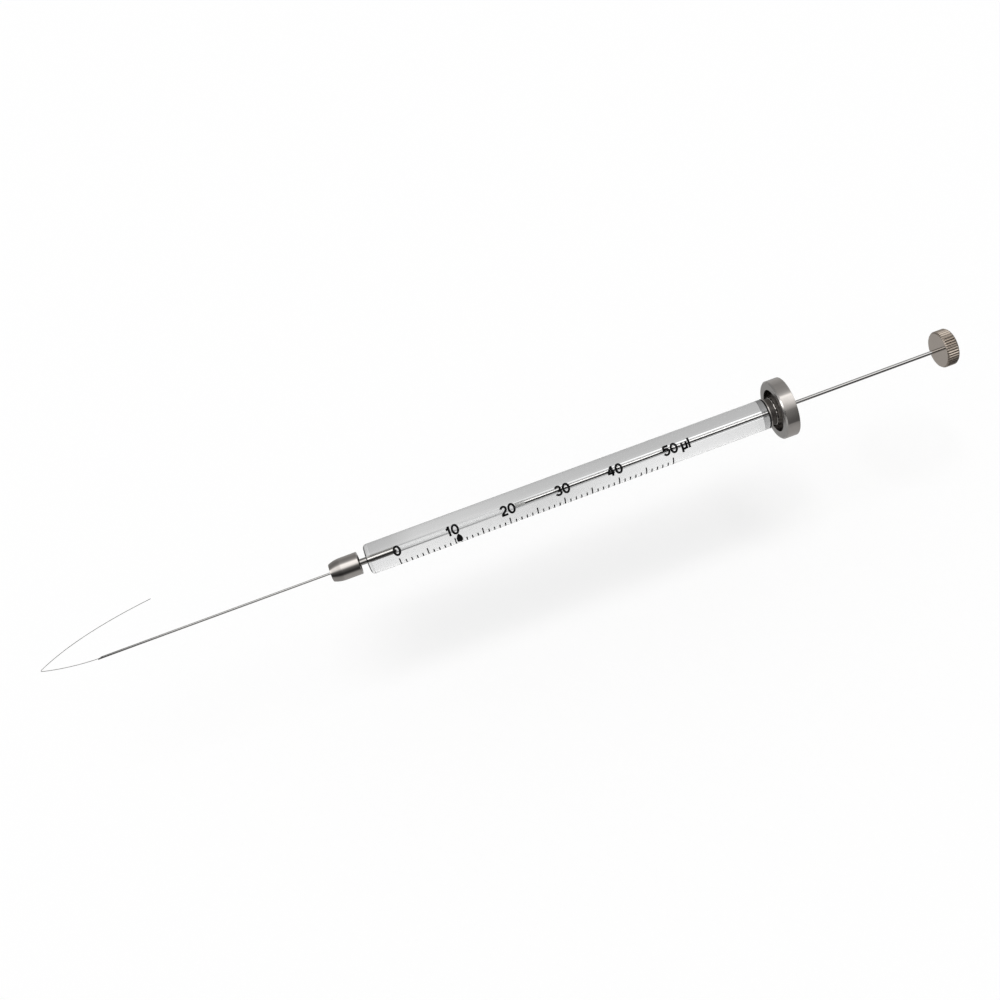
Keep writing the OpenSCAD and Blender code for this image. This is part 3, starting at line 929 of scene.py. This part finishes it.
# The same for rays that leave through the glass after a reflection on the steel in it: harder lights and darks.
SEEN_IN_METAL_IN_GLASS = (
    [
        (-180, 0.52), (-130, 0.42), (-105, 0.37), (-87, 0.28), (-60, 0.18), (-40, 0.12), (-28, 0.07), (-18, 0.03),
        (-10, 0.02), (-1, 0.01), (10, 0.02), (22, 0.05), (31, 0.12), (37, 0.35), (42, 0.7), (48, 1.3), (60, 2.3),
        (70, 2.4), (82, 2.3), (90, 1.5), (97, 0.7), (106, 0.3), (118, 0.17), (140, 0.25), (158, 0.42), (180, 0.5),
    ],
    [
        (-180, 1.15), (-165, 0.95), (-150, 0.6), (-125, 0.5), (-108, 0.75), (-85, 1.1), (-66, 1.1), (-54, 0.4),
        (-42, 0.1), (-30, 0.03), (-16, 0.02), (0, 0.02), (18, 0.02), (30, 0.06), (38, 0.4), (46, 1.3), (56, 2.3),
        (84, 2.4), (92, 1.5), (98, 0.7), (108, 0.3), (120, 0.22), (128, 0.45), (137, 1.15), (160, 1.4), (180, 1.15),
    ],
)  # fmt: skip
# The same for rays that lean far towards the button, as from the rod and the button's rim.
SEEN_AT_THE_BUTTON = [
    (-180, 0.5), (-130, 0.43), (-60, 0.36), (-40, 0.28), (-28, 0.1), (-14, 0.03), (0, 0.02), (18, 0.03), (30, 0.12),
    (40, 0.6), (54, 1.25), (66, 1.6), (82, 1.6), (90, 1.1), (98, 0.65), (108, 0.5), (120, 0.42), (150, 0.42),
    (180, 0.5),
]  # fmt: skip
# What stands behind the glass, by the lean of a ray along the axis: above the syringe, and below it.
BEHIND_ABOVE = [
    (-0.09, 0.5), (-0.055, 0.55), (-0.03, 0.66), (0.02, 0.64), (0.08, 0.57), (0.18, 0.535), (0.3, 0.515),
]  # fmt: skip
BEHIND_BELOW = [
    (-0.09, 0.72), (-0.02, 0.74), (0.03, 0.69), (0.09, 0.62), (0.15, 0.7), (0.2, 0.78), (0.25, 0.74), (0.3, 0.66),
]  # fmt: skip
# Shares by which those levels change towards the studio's two ends, by the same lean.
ENDS_IN_METAL = [
    (-1, 1.8), (-0.88, 1.4), (-0.7, 0.8), (-0.3, 0.76), (-0.22, 0.8), (-0.17, 0.85), (-0.13, 1), (0.6, 1), (0.9, 0.5),
]  # fmt: skip
ENDS_THROUGH_GLASS = [(-0.38, 1), (-0.33, 0.7), (-0.29, 0.7), (-0.2, 1)]
# What stands in front of the syringe, seen straight through the glass from the back.
CLEAR_VIEW = 0.7
# What lights dull surfaces, and any ray with no level of its own.
PLAIN_LEVEL = 0.7
# The share that stands for none of it in a blend.
NONE = 0.0001


def build_world():
    world = bpy.data.worlds.new("studio")
    bpy.context.scene.world = world
    world.use_nodes = True
    nodes, links = world.node_tree.nodes, world.node_tree.links
    nodes.clear()

    def feed(socket, value):
        """Sets a socket to a number, or links another node's output to it."""
        if isinstance(value, (int, float)):
            socket.default_value = value
        else:
            links.new(value, socket)

    def math_node(kind, *values):
        node = nodes.new("ShaderNodeMath")
        node.operation = kind
        for socket, value in zip(node.inputs, values):
            feed(socket, value)
        return node.outputs[0]

    split = nodes.new("ShaderNodeSeparateXYZ")
    links.new(nodes.new("ShaderNodeTexCoord").outputs["Generated"], split.inputs[0])
    lean = math_node("MULTIPLY_ADD", split.outputs["X"], 0.5, 0.5)
    angle = math_node("ARCTAN2", split.outputs["Z"], math_node("MULTIPLY", split.outputs["Y"], -1))
    turn = math_node("MULTIPLY_ADD", angle, 1 / (2 * math.pi), 0.5)

    def ramp(stops, value, low, high):
        """A level looked up along value, whose stops run from low to high."""
        peak = max(level for _, level in stops)
        node = nodes.new("ShaderNodeValToRGB")
        points = node.color_ramp.elements
        while len(points) > 1:
            points.remove(points[-1])
        for k, (place, level) in enumerate(stops):
            place = (place - low) / (high - low)
            point = points[0] if k == 0 else points.new(place)
            point.position = place
            point.color = (level / peak, level / peak, level / peak, 1)
        links.new(value, node.inputs[0])
        return math_node("MULTIPLY", node.outputs[0], peak)

    def blend(share, a, b):
        node = nodes.new("ShaderNodeMix")
        links.new(share, node.inputs["Factor"])
        feed(node.inputs["A"], a)
        feed(node.inputs["B"], b)
        return node.outputs["Result"]

    def backdrop(level):
        shade = nodes.new("ShaderNodeBackground")
        shade.inputs["Color"].default_value = (1, 1, 1, 1)
        feed(shade.inputs["Strength"], level)
        return shade.outputs[0]

    towards_button = ramp([(-0.06, NONE), (0.24, 1)], lean, -1, 1)
    metal = blend(towards_button, *[ramp(stops, turn, -180, 180) for stops in SEEN_IN_METAL])
    far_towards_button = ramp([(0.315, NONE), (0.345, 1)], lean, -1, 1)
    metal = blend(far_towards_button, metal, ramp(SEEN_AT_THE_BUTTON, turn, -180, 180))
    metal_in_glass = blend(towards_button, *[ramp(stops, turn, -180, 180) for stops in SEEN_IN_METAL_IN_GLASS])
    low_side = ramp([(-180, 1), (-141, 1), (-129, NONE), (0, NONE), (100, 1), (180, 1)], turn, -180, 180)
    behind = blend(low_side, ramp(BEHIND_ABOVE, lean, -1, 1), ramp(BEHIND_BELOW, lean, -1, 1))
    front_side = ramp([(-180, NONE), (-72, NONE), (-46, 1), (138, 1), (152, NONE), (180, NONE)], turn, -180, 180)
    path = nodes.new("ShaderNodeLightPath")
    reflected = math_node("MINIMUM", path.outputs["Glossy Depth"], 1)
    ends = ramp(ENDS_THROUGH_GLASS, lean, -1, 1)
    through = blend(front_side, math_node("MULTIPLY", behind, ends), CLEAR_VIEW)
    glass = blend(reflected, through, math_node("MULTIPLY", metal_in_glass, ends))

    shown = backdrop(PLAIN_LEVEL)
    for ray, other in (
        ("Is Glossy Ray", backdrop(math_node("MULTIPLY", metal, ramp(ENDS_IN_METAL, lean, -1, 1)))),
        ("Is Transmission Ray", backdrop(glass)),
        ("Diffuse Depth", backdrop(PLAIN_LEVEL)),
        ("Is Camera Ray", backdrop(1.0)),
    ):
        mix = nodes.new("ShaderNodeMixShader")
        links.new(path.outputs[ray], mix.inputs[0])
        links.new(shown, mix.inputs[1])
        links.new(other, mix.inputs[2])
        shown = mix.outputs[0]
    links.new(shown, nodes.new("ShaderNodeOutputWorld").inputs["Surface"])


build_world()

lamp_data = bpy.data.lights.new("soft_sun", "SUN")
lamp_data.energy = 0.95
lamp_data.angle = math.radians(35)
lamp = bpy.data.objects.new("soft_sun", lamp_data)
bpy.context.scene.collection.objects.link(lamp)
lamp.rotation_euler = Vector((0.02, -0.22, 1)).to_track_quat("Z", "Y").to_euler()
lamp.visible_glossy = False
lamp.visible_transmission = False

# ---------------------------------------------------------------- camera

CAMERA_X = 23.5
CAMERA_DISTANCE = 227.8
CAMERA_RISE = 2.165
CAMERA_TURN = math.radians(3.0)
CAMERA_ROLL = math.radians(20.145)
FOCAL_LENGTH = 39.6


def build_camera():
    along = Vector((1, 0, 0))
    half_root = math.sqrt(0.5)
    front = Vector((0, -half_root, half_root))
    back = front * math.cos(CAMERA_TURN) - along * math.sin(CAMERA_TURN)
    right = along * math.cos(CAMERA_TURN) + front * math.sin(CAMERA_TURN)
    up = back.cross(right)
    rolled_right = right * math.cos(CAMERA_ROLL) - up * math.sin(CAMERA_ROLL)
    rolled_up = right * math.sin(CAMERA_ROLL) + up * math.cos(CAMERA_ROLL)
    target = Vector((CAMERA_X, 0, 0)) + Vector((0, half_root, half_root)) * CAMERA_RISE
    data = bpy.data.cameras.new("camera")
    data.sensor_width = 36
    data.lens = FOCAL_LENGTH
    data.clip_start = 0.01
    data.clip_end = 20
    camera = bpy.data.objects.new("camera", data)
    bpy.context.scene.collection.objects.link(camera)
    place = Matrix((rolled_right, rolled_up, back)).transposed().to_4x4()
    place.translation = (target + back * CAMERA_DISTANCE) * MM
    camera.matrix_world = place
    bpy.context.scene.camera = camera


build_camera()

bpy.context.scene.view_settings.view_transform = "Standard"
